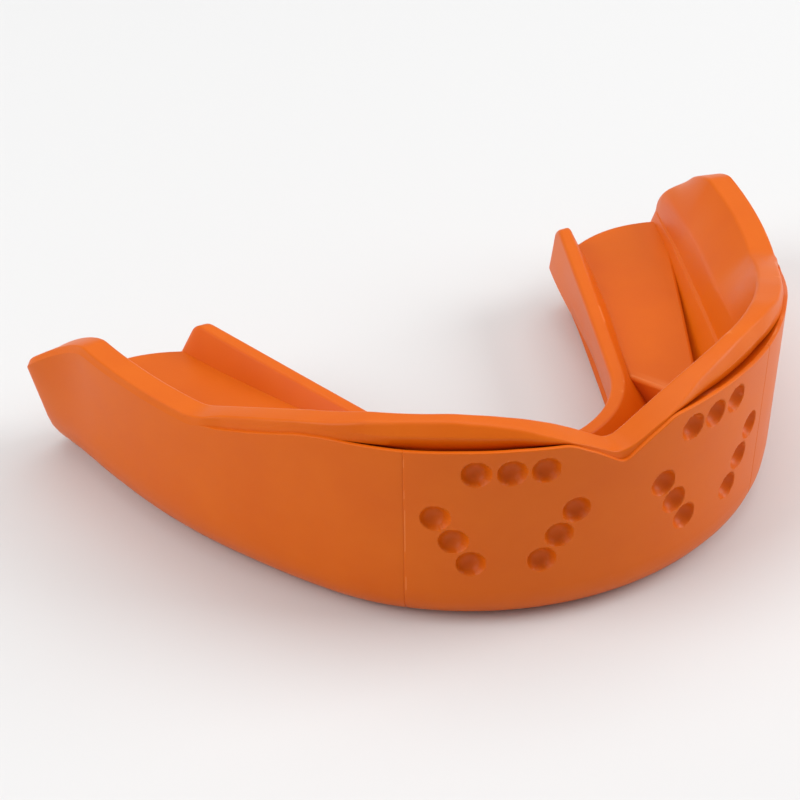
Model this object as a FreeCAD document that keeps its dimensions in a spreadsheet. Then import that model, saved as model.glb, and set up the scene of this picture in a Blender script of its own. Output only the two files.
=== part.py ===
"""Free-standing gum shield for the upper teeth: a U-shaped channel that the teeth sit in.

A thin outer shell carries the bottom and the cheek wall, a fitting liner lies inside it and forms
the channel, the low tongue-side flange and the rim that stands above the shell, a pitted front panel
closes the shell at the lips, and a wedge-shaped bite pad lies in the channel of each arm.
Millimetres. X runs across the mouth, -Y is the front, +Z is towards the gums.
"""
import FreeCAD, Part
import math
import os
import Sketcher

Vector = FreeCAD.Vector
os.makedirs("parts", exist_ok=True)
doc = FreeCAD.newDocument("gum_shield")

# ---- driving dimensions -------------------------------------------------------------------------
DIMENSIONS = {
    # outline of the outer face, seen from above
    "front_y": -23.1,            # foremost point of the face, level with the middle of the wall
    "arch_radius": 28.0,         # front of the arch
    "arch_angle": 52.0,          # half angle of the front arc, degrees
    "side_radius": 55.0,         # each side of the arch
    "foot_radius": 70.0,         # the same at the foot, where the rear ends flare out
    "rear_y": 21.6,              # where the outer wall ends
    "rear_bulge": 1.6,           # how far the rear ends swell past that
    "face_draft": 0.9,           # how much the foot of the face lies inside its middle
    "draft_height": 16.0,        # height at which the face reaches its outline
    # tongue side
    "tongue_radius": 10.8,       # front arc of the inner U
    "tongue_y": -10.1,           # foremost point of the inner U, at flange height
    "tongue_splay": 18.8,        # angle of each straight flange to the Y axis, degrees
    "tongue_lean": 1.2,          # how far the foot of the inner face lies behind its top
    "flange_thickness": 1.3,
    "flange_height": 9.3,        # top of the flange and of the low front rim
    # heights of the cheek wall
    "body_height": 21.3,         # height of the moulding blank
    "lobe_height": 14.7,         # flat top of each rear lobe
    "lobe_start": 14.2,          # where the lobe's top starts to round down, along Y
    "lobe_foot": 7.2,            # height at which that rounding ends
    "lobe_reach": 2.2,           # how far it ends past the outer wall
    "corner_y": -2.3,            # corner where the shell edge leaves the lobe
    "rim_corner_y": 1.0,         # corner where the rim leaves the lobe
    "shell_edge_height": 18.1,   # edge of the shell round the front
    "shell_edge_y": -14.0,       # where that edge reaches its full height
    "rim_height": 20.7,          # top of the rim
    "rim_level_y": -17.8,        # where the rim reaches its full height
    "rim_level_x": 14.6,         # and where it starts down to the notch
    "shell_level_x": 4.8,        # where the shell edge starts down to the notch
    "notch_height": 15.4,        # bottom of the notch in the shell
    "rim_notch_height": 16.1,    # bottom of the notch in the rim
    "shell_edge_bow": 0.35,      # how far each sloping edge stands off its chord
    "rim_bow": 0.95,
    "notch_bow": 0.12,
    "rim_notch_bow": 0.85,
    "lobe_bow": 0.9,
    # thicknesses
    "shell_wall": 1.5,
    "shell_floor": 1.4,
    "wall_top": 2.4,             # shell and liner together, at the lobes
    "front_wall_top": 3.0,       # shell and liner together, at the middle
    "front_wall_taper": 0.5,     # how much thicker that is at lobe height
    "shell_heel": 1.6,           # bevel where the shell's wall and floor meet inside
    "lip": 0.5,                  # thin edge of the shell outside its groove
    "groove_depth": 1.4,         # groove between that edge and the rim, at its deepest
    "groove_start": 0.3,         # how far above the shell's edge the groove's floor starts
    "bottom_round": 3.6,         # outer bottom edge
    "tongue_round": 4.2,         # inner bottom edge
    # tooth channel
    "trough_height": 5.0,        # lowest part of the channel, round the front
    "ridge_height": 9.0,         # crease between the sloping facet and the wall, at Y = 0
    "ridge_tilt": 4.5,           # the crease rises towards the front, degrees
    "crest_height": 14.7,
    "facet_front": 5.6,          # channel foot, inward from the face at the middle
    "facet_x": 15.9,             # channel foot at the canine
    "facet_y": -7.5,
    "facet_rear_x": 31.7,        # channel foot, half a margin past the rear end
    "ridge_front": 4.6,
    "ridge_x": 19.4,
    "ridge_y": -8.4,
    "ridge_rear_x": 31.9,
    "flange_foot": 2.6,          # how far the flange's foot reaches into the channel
    "flange_swell": 0.15,        # how much thicker the flange is at the crease's height
    "flange_taper": 0.2,         # and how much thinner at lobe height
    # bite pads
    "pad_rear_height": 6.0,      # bite surface at the rear end
    "pad_tilt": 4.6,             # it rises towards the front, degrees
    "pad_step_x": 11.8,          # a point of the pad's front step
    "pad_step_y": -3.0,
    "pad_step_turn": 76.0,       # direction of that step from the X axis, degrees
    # front panel
    "panel_half_width": 17.4,
    "panel_back_y": -14.4,
    "panel_lean": 1.2,           # the panel's sides close in towards the bottom, degrees
    # cutting tools
    "margin": 6.0,               # how far a tool stands past what it cuts
    "tool_span": 120.0,          # a tool that crosses the whole arch
    "straight": 440.0,           # radius of a side that is all but straight
    "palate_inset": 3.2,         # edge of the space over the palate, from the tongue side
    # pits in the panel
    "pit_diameter": 2.5,
    "pit_depth": 1.05,
    "pit_pitch": 2.73,
    "pit_group_x": 9.73,
    "pit_reach": 5.54,           # top pit of each sloping row, from the group's middle
    "pin_length": 8.0,
    "pit_top_height": 16.05,
    "pit_side_height": 11.4,
}
sheet = doc.addObject("Spreadsheet::Sheet", "dims")
for row, (name, value) in enumerate(DIMENSIONS.items(), start=1):
    sheet.set(f"A{row}", name)
    sheet.set(f"B{row}", str(value))
    sheet.setAlias(f"B{row}", name)
doc.recompute()


def dim(name):
    """Expression that reads one driving dimension."""
    return f"<<dims>>.{name}"


def number(expression):
    """Value of an expression now, for a first placing of sketch geometry."""
    value = sheet.evalExpression(expression)
    return float(getattr(value, "Value", value))


# ---- points of the arch -------------------------------------------------------------------------
FRONT_CENTRE_Y = f"({dim('front_y')} + {dim('arch_radius')})"
TONGUE_CENTRE_Y = f"({dim('tongue_y')} + {dim('tongue_radius')})"


def face_points(inset, rear=None, side_radius=None):
    """Junction and rear point of the outer face moved inwards by inset, and the two radii."""
    rear = rear or dim("rear_y")
    full_side = side_radius or dim("side_radius")
    front = f"({dim('arch_radius')} - ({inset}))"
    side = f"({full_side} - ({inset}))"
    centre_x = f"(({dim('arch_radius')} - {full_side}) * sin({dim('arch_angle')}))"
    centre_y = f"({FRONT_CENTRE_Y} + ({full_side} - {dim('arch_radius')}) * cos({dim('arch_angle')}))"
    return {
        "junction": (f"({front} * sin({dim('arch_angle')}))",
                     f"({FRONT_CENTRE_Y} - {front} * cos({dim('arch_angle')}))"),
        "rear": (f"({centre_x} + sqrt({side} * {side} - ({rear} - {centre_y})"
                 f" * ({rear} - {centre_y})))", rear),
        "front_radius": front,
        "side_radius": side,
    }


def tongue_points(inset, rear=None):
    """Junction and rear point of the tongue side moved towards the channel by inset."""
    rear = rear or dim("rear_y")
    radius = f"({dim('tongue_radius')} + ({inset}))"
    junction_x = f"({radius} * cos({dim('tongue_splay')}))"
    junction_y = f"({TONGUE_CENTRE_Y} - {radius} * sin({dim('tongue_splay')}))"
    return {
        "junction": (junction_x, junction_y),
        "rear": (f"({junction_x} + ({rear} - {junction_y}) * tan({dim('tongue_splay')}))", rear),
        "radius": radius,
    }


def arc_through(start, end, radius, inner_side):
    """Arc from start to end, running anticlockwise, of the given radius; inner_side is its centre's side."""
    chord = end - start
    half = chord.Length / 2
    reach = math.sqrt(max(radius * radius - half * half, 0.0))
    middle = (start + end) * 0.5
    normal = Vector(-chord.y, chord.x, 0).normalize()
    centre = middle + normal * reach * inner_side
    first = math.atan2(start.y - centre.y, start.x - centre.x)
    last = math.atan2(end.y - centre.y, end.x - centre.x)
    if last < first:
        last += 2 * math.pi
    circle = Part.Circle(centre, Vector(0, 0, 1), radius)
    return Part.ArcOfCircle(circle, first, last)


def plane_of(body, role):
    """One of the origin planes of a body."""
    return next(item for item in body.Origin.OriginFeatures if item.Role == role)


def new_sketch(body, name, role="XY_Plane", height=None, tilt=None):
    """Sketch on an origin plane of the body, lifted to a height and tilted about X where asked."""
    sketch = body.newObject("Sketcher::SketchObject", name)
    sketch.AttachmentSupport = [(plane_of(body, role), "")]
    sketch.MapMode = "FlatFace"
    if height:
        sketch.setExpression("AttachmentOffset.Base.z", height)
    if tilt:
        sketch.AttachmentOffset = FreeCAD.Placement(Vector(), FreeCAD.Rotation(Vector(1, 0, 0), 1))
        sketch.setExpression("AttachmentOffset.Rotation.Angle", f"0 - {tilt}")
    return sketch


def bind(sketch, name, kind, where, expression):
    """Adds one driving constraint, named and bound to the sheet."""
    index = sketch.addConstraint(Sketcher.Constraint(kind, *where, number(expression)))
    sketch.renameConstraint(index, name)
    sketch.setExpression(f"Constraints.{name}", expression)


def arch_sketch(body, name, face, tongue, height=None, tilt=None):
    """Closed U: front arc, side arc, swelling rear end and straight flange line on each side, inner arc."""
    sketch = new_sketch(body, name, height=height, tilt=tilt)
    bulge = dim("rear_bulge")
    keys = {"C": face["junction"], "E": face["rear"], "F": tongue["rear"], "G": tongue["junction"]}
    right = {key: Vector(number(x), number(y), 0) for key, (x, y) in keys.items()}
    left = {key: Vector(-point.x, point.y, 0) for key, point in right.items()}
    half_rear = f"(({keys['E'][0]} - {keys['F'][0]}) / 2)"
    rear_radius = f"({half_rear} * {half_rear} + {bulge} * {bulge}) / (2 * {bulge})"
    front = sketch.addGeometry(arc_through(left["C"], right["C"], number(face["front_radius"]), 1))
    side = number(face["side_radius"])
    side_right = sketch.addGeometry(arc_through(right["C"], right["E"], side, 1))
    rear_right = sketch.addGeometry(arc_through(right["E"], right["F"], number(rear_radius), 1))
    line_right = sketch.addGeometry(Part.LineSegment(right["F"], right["G"]))
    inner = sketch.addGeometry(arc_through(left["G"], right["G"], number(tongue["radius"]), 1))
    line_left = sketch.addGeometry(Part.LineSegment(left["G"], left["F"]))
    rear_left = sketch.addGeometry(arc_through(left["F"], left["E"], number(rear_radius), 1))
    side_left = sketch.addGeometry(arc_through(left["E"], left["C"], side, 1))
    joins = [(front, 2, side_right, 1), (side_right, 2, rear_right, 1), (rear_right, 2, line_right, 1),
             (line_right, 2, inner, 2), (inner, 1, line_left, 1), (line_left, 2, rear_left, 1),
             (rear_left, 2, side_left, 1), (side_left, 2, front, 1)]
    for join in joins:
        sketch.addConstraint(Sketcher.Constraint("Coincident", *join))
    mirrored = [(front, 1, front, 2), (side_left, 1, side_right, 2),
                (rear_left, 1, rear_right, 2), (inner, 1, inner, 2)]
    for pair in mirrored:
        sketch.addConstraint(Sketcher.Constraint("Symmetric", *pair, -2))
    corners = {"C": (front, 2), "E": (side_right, 2), "F": (rear_right, 2), "G": (inner, 2)}
    for key, where in corners.items():
        bind(sketch, f"{key}_x", "DistanceX", (-1, 1, *where), keys[key][0])
        bind(sketch, f"{key}_y", "DistanceY", (-1, 1, *where), keys[key][1])
    bind(sketch, "front_radius", "Radius", (front,), face["front_radius"])
    bind(sketch, "inner_radius", "Radius", (inner,), tongue["radius"])
    for label, arc in (("side_right", side_right), ("side_left", side_left)):
        bind(sketch, f"{label}_radius", "Radius", (arc,), face["side_radius"])
    for label, arc in (("rear_right", rear_right), ("rear_left", rear_left)):
        bind(sketch, f"{label}_radius", "Radius", (arc,), rear_radius)
    return sketch


def loft(body, name, sketches):
    """Ruled solid through a stack of level sketches, lowest first; it is drawn from the top down."""
    solid = body.newObject("PartDesign::AdditiveLoft", name)
    downwards = sketches[::-1]
    solid.Profile = downwards[0]
    solid.Sections = downwards[1:]
    solid.Ruled = True
    doc.recompute()
    return solid


def profile_pad(body, name, role, points, length, arcs=None):
    """Pad of a closed outline both ways from an origin plane.

    points are pairs of expressions; arcs gives, for the edges that are bowed to the left of their
    direction, how far the arc stands off its chord.
    """
    sketch = new_sketch(body, f"{name}_outline", role)
    arcs = arcs or {}
    here = [Vector(number(x), number(y), 0) for x, y in points]
    edges = []
    for index, start in enumerate(here):
        following = (index + 1) % len(here)
        if index in arcs:
            run = f"({points[following][0]} - {points[index][0]})"
            drop = f"({points[following][1]} - {points[index][1]})"
            bow = arcs[index]
            radius = f"(({run} * {run} + {drop} * {drop}) / 4 + {bow} * {bow}) / (2 * {bow})"
            edge = sketch.addGeometry(arc_through(here[following], start, number(radius), 1))
            bind(sketch, f"radius_{index}", "Radius", (edge,), radius)
            first = 2
        else:
            edge = sketch.addGeometry(Part.LineSegment(start, here[following]))
            first = 1
        edges.append((edge, first))
    for index, (edge, first) in enumerate(edges):
        following, its_first = edges[(index + 1) % len(edges)]
        sketch.addConstraint(Sketcher.Constraint("Coincident", edge, 3 - first, following, its_first))
    for index, (edge, first) in enumerate(edges):
        bind(sketch, f"point_{index}_x", "DistanceX", (-1, 1, edge, first), points[index][0])
        bind(sketch, f"point_{index}_y", "DistanceY", (-1, 1, edge, first), points[index][1])
    pad = body.newObject("PartDesign::Pad", name)
    pad.Profile = sketch
    pad.Midplane = True
    pad.setExpression("Length", length)
    doc.recompute()
    return pad


def new_body(name):
    """Body of a moulding tool or blank."""
    body = doc.addObject("PartDesign::Body", name)
    body.Label = name
    return body


def boolean(kind, name, base, tool):
    """Part::Cut, Part::Common or Part::Fuse of two objects."""
    result = doc.addObject(f"Part::{kind}", name)
    result.Base = base
    result.Tool = tool
    result.Label = name
    doc.recompute()
    return result


def edges_at_height(shape, height, longer_than, outside):
    """Names of the long level edges at a height, on the outer or the tongue side."""
    names = []
    for index, edge in enumerate(shape.Edges, start=1):
        box = edge.BoundBox
        level = abs(box.ZMin - height) < 1e-4 and abs(box.ZMax - height) < 1e-4
        if not level or edge.Length < longer_than:
            continue
        middle = edge.valueAt((edge.FirstParameter + edge.LastParameter) / 2)
        reach = number(dim("tongue_radius")) + number(dim("tongue_lean")) + 1
        inner = math.hypot(middle.x, middle.y - number(TONGUE_CENTRE_Y)) < reach
        inner = inner or (middle.y > number(TONGUE_CENTRE_Y) and abs(middle.x) < number(flange_x(middle.y)))
        if inner != outside:
            names.append(f"Edge{index}")
    return names


def flange_x(along):
    """X of the middle of an arm at a place along Y, which parts outer edges from tongue-side edges."""
    points = tongue_points(f"{dim('tongue_lean')} + {dim('flange_thickness')}")["junction"]
    return f"{points[0]} + ({along} - {points[1]}) * tan({dim('tongue_splay')}) + 2"


def face_inset(height):
    """How far the drafted outer face lies inside its outline at a height."""
    return f"({dim('face_draft')} * (1 - ({height}) / {dim('draft_height')}))"


def tongue_inset(height):
    """How far the leaning tongue-side face lies from its line at a height."""
    return f"({dim('tongue_lean')} * (1 - ({height}) / {dim('flange_height')}))"


# ---- the moulding blank and its inner block -------------------------------------------------------
def make_blank():
    """Solid U with drafted sides that flare towards the foot of the rear ends, and rounded bottom edges."""
    body = new_body("blank")
    foot_face = face_points(face_inset("0"), side_radius=dim("foot_radius"))
    foot = arch_sketch(body, "blank_foot", foot_face, tongue_points(tongue_inset("0")))
    top = arch_sketch(body, "blank_top", face_points(face_inset(dim("body_height"))),
                      tongue_points(tongue_inset(dim("body_height"))), height=dim("body_height"))
    solid = loft(body, "blank_loft", [foot, top])
    for name, radius, outside in (("bottom_edge", "bottom_round", True),
                                  ("tongue_edge", "tongue_round", False)):
        fillet = body.newObject("PartDesign::Fillet", name)
        fillet.Base = (solid, edges_at_height(solid.Shape, 0.0, 6.0, outside))
        fillet.setExpression("Radius", dim(radius))
        doc.recompute()
        solid = fillet
    return body


def make_block(name, wall):
    """What lies inside a wall of that thickness and the shell's floor, with a bevelled foot."""
    body = new_body(name)
    floor, heel = dim("shell_floor"), dim("shell_heel")
    rear = f"({dim('rear_y')} + {dim('margin')})"
    tongue = f"(0 - {dim('margin')} / 2)"
    sketches = []
    for level, height, bevel in (("foot", floor, heel), ("heel", f"({floor} + {heel})", "0"),
                                 ("top", f"({dim('body_height')} + 1)", "0")):
        inset = f"({face_inset(height)} + {wall} + {bevel})"
        sketches.append(arch_sketch(body, f"{name}_{level}", face_points(inset, rear),
                                    tongue_points(f"{tongue_inset(height)} + {tongue}", rear),
                                    height=height))
    loft(body, f"{name}_loft", sketches)
    return body


# ---- cutting tools ----------------------------------------------------------------------------------
def channel_section(body, name, height, front_inset, junction, rear_x, side_radius, tongue, tilt=None):
    """One level of the tooth channel, given by its own front, canine and rear points."""
    rear = f"({dim('rear_y')} + {dim('margin')} / 2)"
    apex = f"({dim('front_y')} + {front_inset})"
    depth = f"({junction[1]} - {apex})"
    face = {
        "junction": junction,
        "rear": (rear_x, rear),
        "front_radius": f"({junction[0]} * {junction[0]} + {depth} * {depth}) / (2 * {depth})",
        "side_radius": side_radius,
    }
    return arch_sketch(body, name, face, tongue_points(tongue, rear), height=height, tilt=tilt)


def make_channel():
    """Tooth channel: foot, crease above the sloping facet, lobe level and open top."""
    body = new_body("tooth_channel")
    rear = f"({dim('rear_y')} + {dim('margin')} / 2)"
    straight = dim("straight")
    inner = dim("flange_thickness")
    foot = channel_section(body, "channel_foot", dim("trough_height"), dim("facet_front"),
                           (dim("facet_x"), dim("facet_y")), dim("facet_rear_x"), straight,
                           f"{inner} + {dim('flange_foot')}")
    ridge = channel_section(body, "channel_ridge", dim("ridge_height"), dim("ridge_front"),
                            (dim("ridge_x"), dim("ridge_y")), dim("ridge_rear_x"), straight,
                            f"{inner} + {dim('flange_swell')}", tilt=dim("ridge_tilt"))
    lobe = face_points(f"{dim('wall_top')} + {face_inset(dim('crest_height'))}", rear)
    middle = f"({dim('front_wall_top')} + {dim('front_wall_taper')})"
    crest = channel_section(body, "channel_crest", dim("crest_height"), middle, lobe["junction"],
                            lobe["rear"][0], lobe["side_radius"], f"{inner} - {dim('flange_taper')}")
    high = face_points(f"{dim('wall_top')} + {face_inset(dim('body_height'))}", rear)
    top = channel_section(body, "channel_top", f"({dim('body_height')} + 1)", dim("front_wall_top"),
                          high["junction"], high["rear"][0], high["side_radius"],
                          f"{inner} - 2 * {dim('flange_taper')}")
    loft(body, "channel_loft", [foot, ridge, crest, top])
    return body


def make_palate_space():
    """Room above the flange, bounded by the middle of the channel."""
    body = new_body("palate_space")
    rear = f"({dim('rear_y')} + {dim('margin')})"
    sketches = []
    top = f"({dim('body_height')} + {dim('margin')})"
    for name, height in (("palate_foot", dim("flange_height")), ("palate_top", top)):
        sketch = new_sketch(body, name, height=height)
        inner = tongue_points(dim("palate_inset"), rear)
        corners = {"G": inner["junction"], "F": inner["rear"]}
        right = {key: Vector(number(x), number(y), 0) for key, (x, y) in corners.items()}
        left = {key: Vector(-point.x, point.y, 0) for key, point in right.items()}
        arc = sketch.addGeometry(arc_through(left["G"], right["G"], number(inner["radius"]), 1))
        line_right = sketch.addGeometry(Part.LineSegment(right["G"], right["F"]))
        back = sketch.addGeometry(Part.LineSegment(right["F"], left["F"]))
        line_left = sketch.addGeometry(Part.LineSegment(left["F"], left["G"]))
        for join in [(arc, 2, line_right, 1), (line_right, 2, back, 1), (back, 2, line_left, 1),
                     (line_left, 2, arc, 1)]:
            sketch.addConstraint(Sketcher.Constraint("Coincident", *join))
        for pair in [(arc, 1, arc, 2), (back, 1, back, 2)]:
            sketch.addConstraint(Sketcher.Constraint("Symmetric", *pair, -2))
        for key, where in {"G": (arc, 2), "F": (line_right, 2)}.items():
            bind(sketch, f"{key}_x", "DistanceX", (-1, 1, *where), corners[key][0])
            bind(sketch, f"{key}_y", "DistanceY", (-1, 1, *where), corners[key][1])
        bind(sketch, "radius", "Radius", (arc,), inner["radius"])
        sketches.append(sketch)
    loft(body, "palate_loft", sketches)
    return body


def make_top_tool(name, lobe, corner_y, level_y, level, bow, notch_x, notch, notch_bow):
    """Everything above an edge: side profile cut across, front profile cut from the front."""
    ceiling = f"({dim('body_height')} + {dim('margin')})"
    front, back = f"({dim('front_y')} - {dim('margin')})", f"({dim('rear_y')} + {dim('margin')})"
    foot = dim("lobe_foot")
    end_y = f"({dim('rear_y')} + {dim('lobe_reach')})"
    side = new_body(f"{name}_side")
    points = [(front, level), (level_y, level), (corner_y, lobe), (dim("lobe_start"), lobe),
              (end_y, foot), (back, foot), (back, ceiling), (front, ceiling)]
    profile_pad(side, f"{name}_side_pad", "YZ_Plane", points, dim("tool_span"),
                {1: bow, 3: dim("lobe_bow")})
    middle = new_body(f"{name}_front")
    points = [(f"(0 - {notch_x})", level), ("0", notch), (notch_x, level), (notch_x, ceiling),
              (f"(0 - {notch_x})", ceiling)]
    profile_pad(middle, f"{name}_front_pad", "XZ_Plane", points, dim("tool_span"),
                {0: notch_bow, 1: notch_bow})
    return boolean("Fuse", f"{name}_tool", side, middle)


def pit_places():
    """Middle of each pit of the right-hand group: a triangle that points down, three pits a side."""
    pitch, group = dim("pit_pitch"), dim("pit_group_x")
    places = []
    for place in (-1, 0, 1):
        places.append((f"({group} + {place} * {pitch})", dim("pit_top_height")))
    for side in (-1, 1):
        for step in range(3):
            across = f"({group} + {side} * ({dim('pit_reach')} - {step} * {pitch} * cos(60)))"
            places.append((across, f"({dim('pit_side_height')} - {step} * {pitch} * sin(60))"))
    return places


def make_pit_tools():
    """Straight pins and the balls at their ends, each set as one compound for both groups."""
    radius = f"({dim('pit_diameter')} / 2)"
    sets = {"Cylinder": [], "Sphere": []}
    for side, mirror in (("left", "(0 - 1)"), ("right", "1")):
        for index, (across, height) in enumerate(pit_places()):
            face = f"({FRONT_CENTRE_Y} - sqrt({dim('arch_radius')}^2 - {across}^2) + {face_inset(height)})"
            for kind, items in sets.items():
                item = doc.addObject(f"Part::{kind}", f"pit_{side}_{index}_{kind.lower()}")
                item.Placement = FreeCAD.Placement(Vector(), FreeCAD.Rotation(Vector(1, 0, 0), 90))
                item.setExpression("Radius", radius)
                item.setExpression("Placement.Base.x", f"{mirror} * {across}")
                item.setExpression("Placement.Base.y", f"{face} + {dim('pit_depth')} - {radius}")
                item.setExpression("Placement.Base.z", height)
                items.append(item)
    for pin in sets["Cylinder"]:
        pin.setExpression("Height", dim("pin_length"))
    tools = []
    for kind, items in sets.items():
        tool = doc.addObject("Part::Compound", f"pit_{kind.lower()}s")
        tool.Links = items
        tools.append(tool)
    doc.recompute()
    return tools


def make_panel_slab():
    """Wedge-sided slab that parts the front panel from the rest of the shell."""
    body = new_body("panel_slab")
    half, margin, span = dim("panel_half_width"), dim("margin"), dim("tool_span")
    top, foot = f"({dim('body_height')} + {margin})", f"(0 - {margin})"
    low = f"({half} - ({top} - {foot}) * tan({dim('panel_lean')}))"
    points = [(f"(0 - {low})", foot), (low, foot), (half, top), (f"(0 - {half})", top)]
    profile_pad(body, "panel_slab_pad", "XZ_Plane", points, span)
    slab = doc.addObject("Part::Box", "panel_depth")
    sizes = {
        "Length": span,
        "Width": f"{dim('panel_back_y')} - {dim('front_y')} + {margin}",
        "Height": f"{top} - {foot}",
        "Placement.Base.x": f"0 - {span} / 2",
        "Placement.Base.y": f"{dim('front_y')} - {margin}",
        "Placement.Base.z": foot,
    }
    for key, expression in sizes.items():
        slab.setExpression(key, expression)
    return boolean("Common", "panel_region", body, slab)


def make_bite_plane():
    """Block whose tilted top is the bite surface of both pads."""
    under = doc.addObject("Part::Box", "under_bite_surface")
    reach = depth = f"({dim('tool_span')} / 2)"
    tilt_sin, tilt_cos = f"sin({dim('pad_tilt')})", f"cos({dim('pad_tilt')})"
    under.Placement = FreeCAD.Placement(Vector(), FreeCAD.Rotation(Vector(1, 0, 0), 1))
    sizes = {
        "Length": dim("tool_span"),
        "Width": reach,
        "Height": depth,
        "Placement.Rotation.Angle": f"0 - {dim('pad_tilt')}",
        "Placement.Base.x": f"0 - {dim('tool_span')} / 2",
        "Placement.Base.y": (f"{dim('rear_y')} + {dim('margin')} - {reach} * {tilt_cos}"
                             f" - {depth} * {tilt_sin}"),
        "Placement.Base.z": f"{dim('pad_rear_height')} + {reach} * {tilt_sin} - {depth} * {tilt_cos}",
    }
    for key, expression in sizes.items():
        under.setExpression(key, expression)
    doc.recompute()
    return under


def make_pad_region(side):
    """Column over one arm, cut off at the pad's front step."""
    body = new_body("pad_region_right" if side > 0 else "pad_region_left")
    turn_cos, turn_sin = f"cos({dim('pad_step_turn')})", f"sin({dim('pad_step_turn')})"
    step_x, step_y, reach = dim("pad_step_x"), dim("pad_step_y"), f"(2 * {dim('margin')})"
    behind = (f"({step_x} - {reach} * {turn_cos})", f"({step_y} + {reach} * {turn_sin})")
    ahead = (f"({step_x} + 2 * {reach} * {turn_cos})", f"({step_y} - 2 * {reach} * {turn_sin})")
    far = f"({dim('tool_span')} / 2)"
    outline = [behind, ahead, (far, ahead[1]), (far, far), (behind[0], far)]
    points = [(f"({side} * {x})", y) for x, y in outline]
    profile_pad(body, f"{body.Name}_pad", "XY_Plane", points, dim("tool_span"))
    return body


# ---- the pieces ---------------------------------------------------------------------------------------
blank = make_blank()
block = make_block("inner_block", dim("shell_wall"))
channel = make_channel()
palate = make_palate_space()
shell_top = make_top_tool("shell_top", dim("lobe_height"), dim("corner_y"), dim("shell_edge_y"),
                          dim("shell_edge_height"), dim("shell_edge_bow"), dim("shell_level_x"),
                          dim("notch_height"), dim("notch_bow"))
rim_top = make_top_tool("rim_top", dim("lobe_height"), dim("rim_corner_y"), dim("rim_level_y"),
                        dim("rim_height"), dim("rim_bow"), dim("rim_level_x"),
                        dim("rim_notch_height"), dim("rim_notch_bow"))
groove_top = make_top_tool("groove", f"({dim('lobe_height')} + {dim('groove_start')})", dim("corner_y"),
                           dim("shell_edge_y"), f"({dim('shell_edge_height')} - {dim('groove_depth')})",
                           dim("shell_edge_bow"), dim("shell_level_x"),
                           f"({dim('notch_height')} + {dim('groove_start')})", dim("notch_bow"))
groove = boolean("Common", "groove_room", make_block("lip_block", dim("lip")), groove_top)
panel_region = make_panel_slab()

# shell and panel
tray = boolean("Cut", "tray", blank, block)
trimmed_tray = boolean("Cut", "trimmed_tray", tray, shell_top)
grooved_tray = boolean("Cut", "grooved_tray", trimmed_tray, groove)
outer_shell = boolean("Cut", "outer_shell", grooved_tray, panel_region)
plain_panel = boolean("Common", "plain_panel", grooved_tray, panel_region)
pins, balls = make_pit_tools()
drilled_panel = boolean("Cut", "drilled_panel", plain_panel, pins)
front_panel = boolean("Cut", "front_panel", drilled_panel, balls)

# liner
core = boolean("Common", "core", blank, block)
trimmed_core = boolean("Cut", "trimmed_core", core, rim_top)
opened_core = boolean("Cut", "opened_core", trimmed_core, channel)
fitting_liner = boolean("Cut", "fitting_liner", opened_core, palate)

# bite pads fill the foot of the channel inside the blank
channel_fill = boolean("Common", "channel_fill", trimmed_core, channel)
pad_stock = boolean("Common", "pad_stock", channel_fill, make_bite_plane())
pads = []
for side, name in ((-1, "bite_pad_left"), (1, "bite_pad_right")):
    pads.append(boolean("Common", name, pad_stock, make_pad_region(side)))

pieces = [outer_shell, front_panel, fitting_liner, *pads]
doc.recompute()

# ---- checks and export ----------------------------------------------------------------------------------
for item in doc.Objects:
    if "Invalid" in item.State or "Error" in item.State:
        raise RuntimeError(f"{item.Label} did not rebuild: {item.State}")
for piece in pieces:
    if piece.Shape.isNull() or not piece.Shape.isValid() or not piece.Shape.Solids:
        raise RuntimeError(f"{piece.Label} has no valid solid")
for piece in pieces:
    piece.Shape.exportStep(f"parts/{piece.Label}.step")
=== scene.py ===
"""Looks of a gum shield for the upper teeth: one colour of soft moulded plastic on a pale floor.

Every piece is a section carried along the arch.  A station of the arch has an outer point on the
cheek face and an inner point on the tongue side; a corner of a section is set inwards from one of
the two by a number of millimetres, at a height.  Corners are then rounded and the rear ends closed.
"""

import math

import bpy
import numpy as np
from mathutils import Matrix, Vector


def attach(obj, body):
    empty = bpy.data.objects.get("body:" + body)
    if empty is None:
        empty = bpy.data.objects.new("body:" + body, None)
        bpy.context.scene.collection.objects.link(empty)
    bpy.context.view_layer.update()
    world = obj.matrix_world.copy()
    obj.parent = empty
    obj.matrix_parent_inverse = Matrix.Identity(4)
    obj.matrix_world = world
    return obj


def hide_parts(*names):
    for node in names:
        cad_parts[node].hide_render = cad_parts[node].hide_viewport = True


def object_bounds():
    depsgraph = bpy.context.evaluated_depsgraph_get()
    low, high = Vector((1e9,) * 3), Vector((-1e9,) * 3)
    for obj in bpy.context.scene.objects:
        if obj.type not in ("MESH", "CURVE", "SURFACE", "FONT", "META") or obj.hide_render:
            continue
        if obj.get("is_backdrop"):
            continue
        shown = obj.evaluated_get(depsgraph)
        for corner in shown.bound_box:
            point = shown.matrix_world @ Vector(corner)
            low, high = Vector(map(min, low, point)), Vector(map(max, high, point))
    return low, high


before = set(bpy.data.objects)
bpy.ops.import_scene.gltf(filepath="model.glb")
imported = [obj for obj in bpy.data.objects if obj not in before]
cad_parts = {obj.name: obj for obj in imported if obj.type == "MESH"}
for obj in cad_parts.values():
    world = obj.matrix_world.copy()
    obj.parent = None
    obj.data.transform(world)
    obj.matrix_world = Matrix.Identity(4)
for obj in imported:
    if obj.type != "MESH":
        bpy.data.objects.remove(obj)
cad_low, cad_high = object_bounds()

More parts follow.
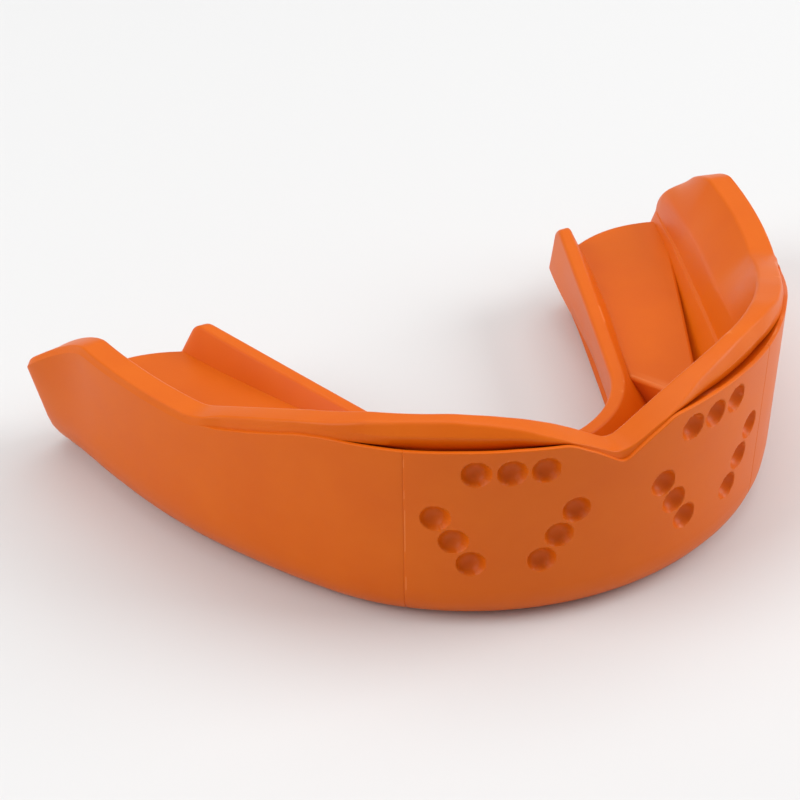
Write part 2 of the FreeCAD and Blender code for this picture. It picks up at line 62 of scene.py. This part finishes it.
# ---- driving dimensions, millimetres and degrees -------------------------------------------------
MM = 0.001
FACE_TOP = cad_high.z / MM               # highest point of the rim
FRONT_Y = cad_low.y / MM                 # foremost point of the cheek face
REAR_BULGE = 1.6                         # how far the rear ends swell
REAR_Y = cad_high.y / MM - REAR_BULGE    # where the outer wall ends
ARCH_RADIUS, ARCH_ANGLE = 28.0, math.radians(52.0)
SIDE_RADIUS = 55.0
FACE_DRAFT, DRAFT_HEIGHT = 0.9, 16.0     # the face's foot lies this far inside its outline
FLARE = 2.7                              # how far the rear ends stand out below the lobes
FLARE_START_Y = 7.0
TONGUE_RADIUS, TONGUE_SPLAY = 10.8, math.radians(18.8)
TONGUE_Y = -10.1
TONGUE_LEAN = 1.2                        # the foot of the tongue side lies this far behind its top
FLANGE_BELLY = 2.4                       # how far the rear of the flange swells towards the tongue
FLANGE_HEIGHT, FLANGE_THICKNESS = 9.3, 1.3
LOBE_HEIGHT, LOBE_WIDTH = 14.7, 2.4
SHELL_WALL, SHELL_FLOOR = 1.5, 1.4
LIP = 0.35                               # thickness of the shell's edge outside the groove
LOBE_OVERLAP = 0.7                       # how far the liner wraps over the shell's edge at the lobes
BOTTOM_ROUND, TONGUE_ROUND = 3.6, 4.2
ARM_ROUND = 1.2                          # the bottom round of the arms is larger by this much
LOBE_FALL, LOBE_FALL_Y = 5.2, 13.6       # how far the lobes' tops round down, and from where
END_ROLL = 1.1                           # radius of the rear ends' edges
TROUGH_HEIGHT = 5.2
RIDGE_START, RIDGE_END = (19.4, -8.4), (31.4, 24.6)   # crease above the sloping facet, seen from above
FOOT_START, FOOT_END = (15.9, -7.5), (31.2, 24.6)     # foot of that facet
GROOVE_DEPTH = 0.8                       # groove between the shell's edge and the rim
PANEL_EDGE = 17.4                        # half width of the lip panel
SEAM_DEPTH, SEAM_WIDTH = 0.05, 0.05      # hairline between the lip panel and the arms
PIT_DIAMETER, PIT_DEPTH, PIT_PITCH = 2.5, 1.05, 2.73
PIT_GROUP_X, PIT_REACH = 9.73, 5.54
PIT_TOP, PIT_SIDE = 16.05, 11.4
PAD_REAR, PAD_TILT = 6.0, math.radians(4.6)           # bite surface at the rear, and its rise forwards
PAD_STEP, PAD_STEP_TURN = np.array([11.8, -3.0]), math.radians(76.0)
PAD_FOOT, PAD_EDGE = 4.2, 0.3
FLOW_MARK, MOULD_GRAIN = 5.0, 0.25       # the real grain is finer and is drawn so that it shows

FRONT_LENGTH = ARCH_RADIUS * ARCH_ANGLE
FRONT_CENTRE_Y = FRONT_Y + ARCH_RADIUS
SIDE_CENTRE = np.array([(ARCH_RADIUS - SIDE_RADIUS) * math.sin(ARCH_ANGLE),
                        FRONT_CENTRE_Y - (ARCH_RADIUS - SIDE_RADIUS) * math.cos(ARCH_ANGLE)])
SIDE_ANGLE = math.acos((SIDE_CENTRE[1] - REAR_Y) / SIDE_RADIUS)
HALF_LENGTH = FRONT_LENGTH + SIDE_RADIUS * (SIDE_ANGLE - ARCH_ANGLE)
TONGUE_CENTRE_Y = TONGUE_Y + TONGUE_RADIUS
TONGUE_TURN = math.pi / 2 - TONGUE_SPLAY


# ---- the arch ------------------------------------------------------------------------------------
def ramp(value, start, end):
    """Smooth step from 0 at start to 1 at end."""
    share = np.clip((value - start) / (end - start), 0, 1)
    return share * share * (3 - 2 * share)


def arch(along):
    """Outer point, outward direction, inner point and its direction into the channel, per station.

    along is the signed length of the outer face from the middle.  The outer face is an arc of the
    front radius, then one of the side radius that meets it without a kink.  The tongue side is an arc
    and a straight line, run through in the same shares.
    """
    side = np.sign(along) + (along == 0)
    run = np.abs(along)
    rear_share = np.clip((run - FRONT_LENGTH) / (HALF_LENGTH - FRONT_LENGTH), 0, None)
    turn = np.where(run < FRONT_LENGTH, run / ARCH_RADIUS,
                    ARCH_ANGLE + (run - FRONT_LENGTH) / SIDE_RADIUS)
    radius = np.where(run < FRONT_LENGTH, ARCH_RADIUS, SIDE_RADIUS)
    centre_x = np.where(run < FRONT_LENGTH, 0.0, SIDE_CENTRE[0])
    centre_y = np.where(run < FRONT_LENGTH, FRONT_CENTRE_Y, SIDE_CENTRE[1])
    outer = np.stack([side * (centre_x + radius * np.sin(turn)), centre_y - radius * np.cos(turn)], -1)
    outward = np.stack([side * np.sin(turn), -np.cos(turn)], -1)
    inner_turn = TONGUE_TURN * np.minimum(run / FRONT_LENGTH, 1.0)
    corner_y = TONGUE_CENTRE_Y - TONGUE_RADIUS * math.cos(TONGUE_TURN)
    arm = rear_share * (REAR_Y - corner_y)
    inner = np.stack([side * (TONGUE_RADIUS * np.sin(inner_turn) + arm * math.tan(TONGUE_SPLAY)),
                      TONGUE_CENTRE_Y - TONGUE_RADIUS * np.cos(inner_turn) + arm], -1)
    into = np.stack([side * np.sin(inner_turn), -np.cos(inner_turn)], -1)
    return outer, outward, inner, into


def face_shift(along, height):
    """How far the cheek face stands outside its outline, a straight draft plus the flare of the rear ends.

    The flare grows along the arm and upwards from the foot, and fades out again below the lobe's top.
    """
    outer, _, _, _ = arch(along)
    flare = FLARE * ramp(outer[:, 1], FLARE_START_Y, REAR_Y + 3.0)
    flare = flare * ramp(height, -2.0, 6.0) * (1 - ramp(height, 9.0, LOBE_HEIGHT + 0.6))
    return flare - FACE_DRAFT * (1 - height / DRAFT_HEIGHT)


def on_face(along, inset, height):
    """Point set in from the cheek face."""
    outer, outward, _, _ = arch(along)
    plan = outer + (face_shift(along, height) - inset)[:, None] * outward
    return np.column_stack([plan, height])


def inset_of_line(along, start, end, height):
    """Inset at which each station's ray meets the straight plan line through two points.

    With m square to the line, the ray meets it after (outer - start) . m / (outward . m).
    """
    outer, outward, _, _ = arch(along)
    mirror = np.where(along[:, None] < 0, [-1, 1], [1, 1])
    run = np.subtract(end, start)
    square = np.array([run[1], -run[0]]) / np.hypot(*run)
    reach = ((outer * mirror - start) @ square) / ((outward * mirror) @ square)
    return reach + face_shift(along, height)


def on_tongue(along, inset, height):
    """Point set in from the leaning tongue side."""
    _, _, inner, into = arch(along)
    belly = FLANGE_BELLY * ramp(inner[:, 1], 4.0, REAR_Y) * ramp(height, 0.0, 4.0)
    lean = (TONGUE_LEAN - belly) * (1 - height / FLANGE_HEIGHT)
    plan = inner + (inset + lean)[:, None] * into
    return np.column_stack([plan, height])


def broken_line(along, *knots, blend=1.5):
    """Straight runs between (length, value) knots, mirrored, each corner rounded over the blend.

    The rounding is a running mean of the straight runs over one blend width.
    """
    lengths, values = np.array(knots, float).T
    shifts = np.linspace(-0.5, 0.5, 13) * blend
    return np.mean([np.interp(np.abs(along + shift), lengths, values) for shift in shifts], 0)


# ---- heights along the arch ----------------------------------------------------------------------
def lobe_drop(along):
    """How far the lobes' tops have rounded down, a power curve over the last part of the arm."""
    outer, _, _, _ = arch(along)
    share = np.clip((outer[:, 1] - LOBE_FALL_Y) / (REAR_Y - LOBE_FALL_Y), 0, 1)
    return LOBE_FALL * share ** 1.4


def shell_height(along):
    """Edge of the shell: notch in the middle, level brow, slope to the lobes, tucked under the liner."""
    tucked = LOBE_HEIGHT - LOBE_OVERLAP
    line = broken_line(along, (0, 15.15), (2.4, 16.8), (4.9, 18.15), (9.3, 18.3), (14.1, 18.25),
                       (19.0, 18.0), (25.5, 17.85), (28.2, 17.4), (32.7, 15.95), (36.8, LOBE_HEIGHT),
                       (37.6, LOBE_HEIGHT), (39.2, tucked), (HALF_LENGTH, tucked), blend=1.2)
    return line - lobe_drop(along)


def rim_height(along):
    """Top of the rim: notch, long hump on each side, short slope to the lobes."""
    line = broken_line(along, (0, 15.85), (1.5, 16.6), (3.4, 17.65), (5.8, 18.7), (8.5, 19.5),
                       (11.5, 20.05), (15.0, 20.3), (19.5, 19.95), (22.6, 19.65), (28.5, 18.3),
                       (32.9, 17.0), (36.5, 15.8), (39.5, LOBE_HEIGHT), (HALF_LENGTH, LOBE_HEIGHT),
                       blend=1.8)
    return np.minimum(line, FACE_TOP) - lobe_drop(along)


# ---- sections ------------------------------------------------------------------------------------
def rounded(corners, radii, steps=6):
    """Closed sections with rounded corners, all stations at once.

    corners is (corner, station, xyz).  At a corner the two neighbouring edges are cut back by
    radius * tan(half the turn), and a parabola tangent to both edges joins the cuts.
    """
    count = len(corners)
    rows = []
    for index in range(count):
        here = corners[index]
        before, after = corners[index - 1] - here, corners[(index + 1) % count] - here
        if radii[index] is None:
            rows.append(here[None])
            continue
        reach_before = np.linalg.norm(before, axis=-1, keepdims=True) + 1e-9
        reach_after = np.linalg.norm(after, axis=-1, keepdims=True) + 1e-9
        before, after = before / reach_before, after / reach_after
        facing = np.clip(np.sum(before * after, -1, keepdims=True), -0.999, 0.999)
        half_turn = (math.pi - np.arccos(facing)) / 2
        cut = np.broadcast_to(np.asarray(radii[index], float).reshape(-1, 1), half_turn.shape)
        cut = cut * np.tan(half_turn)
        cut = np.minimum(cut, 0.46 * np.minimum(reach_before, reach_after))
        share = np.linspace(0, 1, steps + 1)[:, None, None]
        rows.append(here + (1 - share) ** 2 * cut * before + share ** 2 * cut * after)
    return np.concatenate(rows)


def swell(points, along):
    """Rear ends bulge backwards: most at the middle of the arm, fading out over the last stretch."""
    outer, _, inner, _ = arch(along)
    across = (points[..., 0] - inner[:, 0]) / (outer[:, 0] - inner[:, 0] + 1e-9)
    crown = np.clip(1 - (2 * across - 1) ** 2, 0, 1)
    fade = ramp(np.abs(along), HALF_LENGTH - 9.0, HALF_LENGTH)
    bulged = points.copy()
    bulged[..., 1] += np.where(np.abs(along) > FRONT_LENGTH, REAR_BULGE * crown * fade, 0)
    return bulged


def stations(start, end, spacing=0.55, close=0.02):
    """Lengths along the arch, closer and closer together at both ends."""
    middle = np.linspace(start, end, max(int(abs(end - start) / spacing), 8) + 1)
    near = close * 1.5 ** np.arange(10)
    return np.unique(np.concatenate([middle, start + near, end - near]))


def rear_roll(along, radius=END_ROLL):
    """How far a surface draws in towards a rear end, a quarter circle of the radius."""
    left = np.clip(radius - (HALF_LENGTH - np.abs(along)), 0, radius)
    return radius - np.sqrt(radius ** 2 - left ** 2)


def plastic_piece(name, node, slot, vertices, faces, crease=38):
    """Mesh object at the origin in metres, smooth but for edges sharper than the crease angle."""
    mesh = bpy.data.meshes.new(name)
    mesh.from_pydata((vertices * MM).tolist(), [], faces)
    mesh.validate()
    piece = bpy.data.objects.new(name, mesh)
    bpy.context.scene.collection.objects.link(piece)
    mesh.polygons.foreach_set("use_smooth", np.ones(len(mesh.polygons), bool))
    mesh.set_sharp_from_angle(angle=math.radians(crease))
    mesh.update()
    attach(piece, "root")
    if node:
        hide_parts(node)
    return piece


def swept(sections):
    """Vertices and faces of a solid swept through (point, station, xyz) sections, ends closed."""
    ring, count = sections.shape[:2]
    vertices = sections.transpose(1, 0, 2).reshape(-1, 3)
    station, place = np.meshgrid(np.arange(count - 1), np.arange(ring), indexing="ij")
    following = (place + 1) % ring
    quads = np.stack([station * ring + place, station * ring + following,
                      (station + 1) * ring + following, (station + 1) * ring + place], -1)
    faces = quads.reshape(-1, 4).tolist()
    faces.append(list(range(ring))[::-1])
    faces.append(list(range((count - 1) * ring, count * ring)))
    return vertices, faces


def sections_from(along, corners, steps=6, spread=1.5):
    """Rounded and swollen sections from a list of (side, inset, height, radius) corners.

    Straight edges longer than the spread are divided, so that the swell can bend them.
    """
    places = []
    radii = []
    for side, inset, height, radius in corners:
        level = np.broadcast_to(np.asarray(height, float), along.shape)
        inset = np.broadcast_to(np.asarray(inset, float), along.shape)
        places.append((on_face if side == "face" else on_tongue)(along, inset, level))
        radii.append(radius)
    sections = rounded(np.array(places), radii, steps)
    if spread:
        for after in range(len(sections) - 1, -1, -1):
            edge = sections[(after + 1) % len(sections)] - sections[after]
            rows = int(np.linalg.norm(edge, axis=-1).max() / spread)
            if rows:
                sections = with_rows(sections, after, rows)
    return swell(sections, along)


def with_rows(sections, after, rows):
    """The same sections with evenly spaced points put in on the straight edge after one point."""
    share = (np.arange(1, rows + 1) / (rows + 1))[:, None, None]
    first, last = sections[after], sections[(after + 1) % len(sections)]
    return np.concatenate([sections[:after + 1], first + share * (last - first), sections[after + 1:]])


# ---- shell and lip panel -------------------------------------------------------------------------
def shell_corners(along, seam=None):
    """Section of the shell: cheek wall with a thin edge over a groove, floor and tongue-side foot.

    At the seam the surface sinks by an exponential of the distance from it.
    """
    roll = rear_roll(along)
    if seam is not None:
        roll = roll + SEAM_DEPTH * np.exp(-np.abs(np.abs(along) - seam) / SEAM_WIDTH)
    top = shell_height(along) - roll
    edge_round = broken_line(along, (0, 0.12), (36.0, 0.12), (38.5, 0.02), (HALF_LENGTH, 0.02))
    bottom_round = BOTTOM_ROUND + ARM_ROUND * ramp(np.abs(along), 20.0, 36.0)
    return [
        ("face", roll, roll, bottom_round),
        ("face", roll, top, edge_round),
        ("face", LIP * (1 - 0.6 * rear_roll(along) / END_ROLL) + roll, top, edge_round),
        ("face", SHELL_WALL, top - GROOVE_DEPTH, None),
        ("face", SHELL_WALL, SHELL_FLOOR, None),
        ("tongue", 0.3 + 2.0, SHELL_FLOOR, None),
        ("tongue", 0.2 + 1.5, SHELL_FLOOR * 0.98, None),
        ("tongue", roll, roll, TONGUE_ROUND),
    ]


def pit_floor(points):
    """Moves points of the panel's face back to the floor of a pit where they lie inside its round.

    A pit is the room of a straight ball-ended pin along Y: y = centre + sqrt(r^2 - distance^2).
    Two triangles that point down have three pits on each side.
    """
    places = [(PIT_GROUP_X + step * PIT_PITCH, PIT_TOP) for step in (-1, 0, 1)]
    for side in (-1, 1):
        for step in range(3):
            places.append((PIT_GROUP_X + side * (PIT_REACH - step * PIT_PITCH / 2),
                           PIT_SIDE - step * PIT_PITCH * math.sin(math.radians(60))))
    radius = PIT_DIAMETER / 2
    sunk = points.copy()
    for across, level in places:
        away = np.hypot(np.abs(points[..., 0]) - across, points[..., 2] - level)
        face_y = FRONT_CENTRE_Y - math.sqrt(ARCH_RADIUS ** 2 - across ** 2)
        face_y += FACE_DRAFT * (1 - level / DRAFT_HEIGHT)
        floor = face_y + PIT_DEPTH - radius + np.sqrt(np.clip(radius ** 2 - away ** 2, 0, None))
        inside = (away < radius) & (floor > sunk[..., 1])
        sunk[..., 1] = np.where(inside, floor, sunk[..., 1])
    return sunk


def joined(parts):
    """One mesh from several."""
    vertices, faces, base = [], [], 0
    for part_vertices, part_faces in parts:
        vertices.append(part_vertices)
        faces += [[base + corner for corner in face] for face in part_faces]
        base += len(part_vertices)
    return np.concatenate(vertices), faces


PANEL_LENGTH = ARCH_RADIUS * math.asin(PANEL_EDGE / ARCH_RADIUS)
arms = []
for start, end in ((-HALF_LENGTH, -PANEL_LENGTH), (PANEL_LENGTH, HALF_LENGTH)):
    along = stations(start, end)
    arms.append(swept(sections_from(along, shell_corners(along, PANEL_LENGTH))))
shell = plastic_piece("shell", "outer_shell", "shell_plastic", *joined(arms))

along = stations(-PANEL_LENGTH, PANEL_LENGTH, spacing=0.11)
panel_sections = sections_from(along, shell_corners(along, PANEL_LENGTH), spread=None)
FACE_START, FACE_ROWS = 6, 125           # last point of the bottom round, and rows put in on the face
FACE_END = FACE_START + FACE_ROWS + 3
panel_sections = with_rows(panel_sections, FACE_START, FACE_ROWS)
panel_sections[:FACE_END] = pit_floor(panel_sections[:FACE_END])
panel = plastic_piece("lip_panel", "front_panel", "panel_plastic", *swept(panel_sections))

# ---- liner ---------------------------------------------------------------------------------------
along = stations(-HALF_LENGTH, HALF_LENGTH, spacing=0.35)
outer_line, _, _, _ = arch(along)
roll = rear_roll(along)
edge = shell_height(along) - roll
top = rim_height(along) - roll
rise = top - edge
rim_share = np.clip(rise / 2.4, 0, 1)
hollow = broken_line(along, (0, 0), (3.6, 0), (6.5, 1), (19.5, 1), (24.3, 0), (HALF_LENGTH, 0))
# the rim stands back from the shell's edge over a shallow hollow on each side of the middle
set_back = broken_line(along, (0, LIP), (4.5, LIP), (9.0, 0.95), (18.0, 1.0), (24.3, LIP), (36.5, LIP),
                       (38.0, 0.0), (HALF_LENGTH, 0.0), blend=1.6) + roll
brow = set_back + 0.4 * rim_share * (1 - hollow) - 0.1 * hollow
brow_level = top - np.minimum(0.55 * rise, 1.25)
rim_lean = 0.75 * rim_share
wall_top = broken_line(along, (0, 3.1), (8.0, 3.2), (FRONT_LENGTH, 2.9), (36.0, 2.6),
                       (41.0, LOBE_WIDTH), (HALF_LENGTH, LOBE_WIDTH)) - 0.6 * roll
# crease between the wall and the sloping facet, and the foot of that facet
ridge_level = np.minimum(9.1 - 0.088 * outer_line[:, 1], 10.9) - roll
to_arm = ramp(np.abs(along), FRONT_LENGTH - 1.0, FRONT_LENGTH + 3.0)
ridge_front = broken_line(along, (0, 4.5), (14.0, 4.3), (FRONT_LENGTH + 2, 4.1), (HALF_LENGTH, 4.1))
ridge = ridge_front + to_arm * (inset_of_line(along, RIDGE_START, RIDGE_END, ridge_level) - ridge_front)
ledge = broken_line(along, (0, 0.05), (FRONT_LENGTH - 4, 0.05), (FRONT_LENGTH + 3, 0.3), (52.0, 0.3),
                    (HALF_LENGTH, 0.05))
foot_front = broken_line(along, (0, 5.1), (10.4, 5.5), (16.7, 6.1), (FRONT_LENGTH, 7.3),
                         (HALF_LENGTH, 7.3))
foot_line = inset_of_line(along, FOOT_START, FOOT_END, np.full_like(along, TROUGH_HEIGHT))
foot_inset = np.maximum(foot_front + to_arm * (foot_line - foot_front), ridge + ledge + 0.5)
steep = broken_line(along, (0, 0.2), (FRONT_LENGTH, 0.75), (52.0, 0.75), (HALF_LENGTH, 0.1))
shoulder = np.minimum(ridge_level + 2.6, top - 1.0)
flange_top = FLANGE_HEIGHT - rear_roll(along, 2.6)
liner_sections = sections_from(along, [
    ("face", SHELL_WALL, SHELL_FLOOR, None),
    ("face", SHELL_WALL, edge - GROOVE_DEPTH, None),
    ("face", set_back, edge - 0.02 * rim_share, None),
    ("face", brow, brow_level, 0.5),
    ("face", set_back + rim_lean, top, 0.5),
    ("face", wall_top, top, 0.5),
    ("face", np.maximum(ridge - steep, wall_top + 0.05), shoulder, 2.0),
    ("face", ridge, np.minimum(ridge_level + 0.1, shoulder - 0.4), 0.12),
    ("face", ridge + ledge, np.minimum(ridge_level, shoulder - 0.5), 0.12),
    ("face", foot_inset, TROUGH_HEIGHT - roll, 1.0),
    ("tongue", 3.9, 5.0 - roll, 1.6),
    ("tongue", FLANGE_THICKNESS - 0.4 * roll, flange_top, 0.45),
    ("tongue", 0.6 * roll, flange_top, 0.45),
    ("tongue", 0.3 * roll, 4.6, None),
    ("tongue", 1.7, SHELL_FLOOR, None),
])
liner = plastic_piece("liner", "fitting_liner", "liner_plastic", *swept(liner_sections))

# ---- bite pads -----------------------------------------------------------------------------------
def bite_height(y):
    """The bite surface, a plane that rises towards the front."""
    return PAD_REAR + (REAR_Y + 6.0 - y) * math.tan(PAD_TILT) * 0.97


def pad_outline(side):
    """Plan outline of a pad: front step, edge along the cheek facet, rear end, edge along the flange."""
    run = np.linspace(FRONT_LENGTH - 3.5, HALF_LENGTH, 60)
    cheek_inset = np.interp(run, along, foot_inset) - 0.75
    cheek = on_face(run, cheek_inset, np.full_like(run, 7.0))
    flange = on_tongue(run, np.full_like(run, FLANGE_THICKNESS + 0.5), np.full_like(run, 8.0))
    step = np.array([-math.cos(PAD_STEP_TURN), math.sin(PAD_STEP_TURN)])
    normal = np.array([step[1], -step[0]])
    cheek = cheek[(cheek[:, :2] - PAD_STEP) @ normal > 0]
    flange = flange[(flange[:, :2] - PAD_STEP) @ normal > 0]
    rear = cheek[-1] + np.linspace(0, 1, 14)[1:-1, None] * (flange[-1] - cheek[-1])
    across = np.linspace(0, 1, 14)[1:-1]
    rear[:, 1] += REAR_BULGE * (1 - (2 * across - 1) ** 2) * 0.9 - 0.25
    outline = np.concatenate([cheek, rear, flange[::-1]])[:, :2]
    outline[:, 0] *= side
    return outline if side > 0 else outline[::-1]


pads = []
for side, name in ((-1, "bite_pad_left"), (1, "bite_pad_right")):
    outline = pad_outline(side)
    count = len(outline)
    low = np.column_stack([outline, np.full(count, PAD_FOOT)])
    high = np.column_stack([outline, bite_height(outline[:, 1])])
    first = np.arange(count)
    following = (first + 1) % count
    sides = np.stack([first, following, following + count, first + count], -1).tolist()
    faces = sides + [list(range(count))[::-1], list(range(count, 2 * count))]
    pad = plastic_piece(f"pad_{name[9:]}", name, "pad_plastic", np.concatenate([low, high]), faces)
    bevel = pad.modifiers.new("soft_edge", "BEVEL")
    bevel.width = PAD_EDGE * MM
    bevel.segments = 3
    bevel.limit_method = "ANGLE"
    bevel.angle_limit = math.radians(50)
    pads.append(pad)


# ---- material ------------------------------------------------------------------------------------
def linear(hex_colour):
    """Linear RGBA of an sRGB hex colour."""
    parts = [int(hex_colour[place:place + 2], 16) / 255 for place in (1, 3, 5)]
    return [part / 12.92 if part <= 0.04045 else ((part + 0.055) / 1.055) ** 2.4 for part in parts] + [1]


def node(tree, kind, settings=None, links=None):
    """Adds a node, sets its attributes or sockets, and links its inputs from other nodes' outputs."""
    made = tree.nodes.new(kind)
    for key, value in (settings or {}).items():
        if isinstance(key, str) and hasattr(made, key):
            setattr(made, key, value)
        else:
            made.inputs[key].default_value = value
    for key, source in (links or {}).items():
        tree.links.new(source, made.inputs[key])
    return made


def moulded_elastomer(name):
    """Injection-moulded thermoplastic elastomer.

    The mould gives it a satin skin with a fine grain and shallow flow marks, and its sharp edges carry
    a painted highlight: a lighter orange mixed in where pointiness is high.
    """
    material = bpy.data.materials.new(name)
    material.use_nodes = True
    tree = material.node_tree
    tree.nodes.clear()
    place = node(tree, "ShaderNodeTexCoord").outputs["Object"]
    flow = node(tree, "ShaderNodeTexNoise", {"Scale": 1 / (FLOW_MARK * MM), "Detail": 3.0},
                {"Vector": place})
    grain = node(tree, "ShaderNodeTexNoise", {"Scale": 1 / (MOULD_GRAIN * MM), "Detail": 2.0},
                 {"Vector": place})
    tint = node(tree, "ShaderNodeMix", {"data_type": "RGBA", 6: linear("#D25B00"), 7: linear("#DB6704")},
                {0: flow.outputs["Fac"]})
    # painted highlight: convex edges, found by pointiness, are mixed towards a lighter orange as if
    # catching the light
    edges = node(tree, "ShaderNodeMapRange", {"From Min": 0.53, "From Max": 0.65, "To Max": 0.4},
                 {"Value": node(tree, "ShaderNodeNewGeometry").outputs["Pointiness"]})
    painted_edge_highlight = node(tree, "ShaderNodeMix", {"data_type": "RGBA", 7: linear("#EC8B4E")},
                {0: edges.outputs["Result"], 6: tint.outputs[2]})
    sheen = node(tree, "ShaderNodeMapRange", {"To Min": 0.34, "To Max": 0.46},
                 {"Value": flow.outputs["Fac"]})
    marks = node(tree, "ShaderNodeBump", {"Strength": 0.25, "Distance": 0.06 * MM},
                 {"Height": flow.outputs["Fac"]})
    skin = node(tree, "ShaderNodeBump", {"Strength": 0.3, "Distance": 0.02 * MM},
                {"Height": grain.outputs["Fac"], "Normal": marks.outputs["Normal"]})
    shader = node(tree, "ShaderNodeBsdfPrincipled",
                  {"IOR": 1.5, "Specular IOR Level": 0.22, "Subsurface Weight": 0.03,
                   "Subsurface Radius": (1.0, 0.35, 0.1), "Subsurface Scale": 0.8 * MM},
                  {"Base Color": painted_edge_highlight.outputs[2], "Roughness": sheen.outputs["Result"],
                   "Normal": skin.outputs["Normal"]})
    node(tree, "ShaderNodeOutputMaterial", {}, {"Surface": shader.outputs["BSDF"]})
    return material


elastomer = moulded_elastomer("moulded_elastomer")
for piece in (shell, panel, liner, *pads):
    piece.data.materials.append(elastomer)

# ---- studio --------------------------------------------------------------------------------------
FLOOR_REACH, FLOOR_DROP = 3.0, 0.05 * MM              # metres; the floor lies a hair below the guard
floor_mesh = bpy.data.meshes.new("floor")
floor_mesh.from_pydata([(across * FLOOR_REACH, away * FLOOR_REACH, -FLOOR_DROP)
                        for across, away in ((-1, -1), (1, -1), (1, 1), (-1, 1))], [], [(0, 1, 2, 3)])
floor = bpy.data.objects.new("floor", floor_mesh)
bpy.context.scene.collection.objects.link(floor)
paper = bpy.data.materials.new("white_paper")
paper.use_nodes = True
paper_shader = paper.node_tree.nodes["Principled BSDF"]
paper_shader.inputs["Base Color"].default_value = linear("#DCDCDC")
paper_shader.inputs["Roughness"].default_value = 0.9
floor_mesh.materials.append(paper)
floor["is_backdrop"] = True

world = bpy.data.worlds.new("studio")
world.use_nodes = True
backdrop = world.node_tree.nodes["Background"]
backdrop.inputs["Color"].default_value = linear("#FFFFFF")
backdrop.inputs["Strength"].default_value = 0.42
bpy.context.scene.world = world

# soft boxes on both sides, a little in front, and one overhead
for name, place, energy, size in (("left_softbox", (-0.42, 0.04, 0.30), 1.3, 0.35),
                                  ("right_softbox", (0.42, -0.15, 0.30), 1.8, 0.35),
                                  ("top_softbox", (0.05, 0.14, 0.50), 1.2, 0.50)):
    light_data = bpy.data.lights.new(name, "AREA")
    light_data.energy = energy
    light_data.size = size
    light = bpy.data.objects.new(name, light_data)
    bpy.context.scene.collection.objects.link(light)
    light.location = Vector(place)
    towards = Vector((0, 0, 0.01)) - light.location
    light.rotation_euler = towards.to_track_quat("-Z", "Y").to_euler()

# camera: 34 degrees above the floor, 27 degrees round to the left
AZIMUTH, ELEVATION = math.radians(-26.8), math.radians(34.0)
DISTANCE, FOCAL_SHARE = 298.5 * MM, 3151 / 800
target = Vector((0.0, 17.9, -3.3)) * MM
back = Vector((math.sin(AZIMUTH) * math.cos(ELEVATION), -math.cos(AZIMUTH) * math.cos(ELEVATION),
               math.sin(ELEVATION)))
camera_data = bpy.data.cameras.new("camera")
camera_data.sensor_width = 36.0
camera_data.lens = 36.0 * FOCAL_SHARE
camera_data.clip_start = 0.01
camera = bpy.data.objects.new("camera", camera_data)
bpy.context.scene.collection.objects.link(camera)
camera.location = target + DISTANCE * back
camera.rotation_euler = back.to_track_quat("Z", "Y").to_euler()
bpy.context.scene.camera = camera
bpy.context.scene.view_settings.view_transform = "Standard"

low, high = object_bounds()
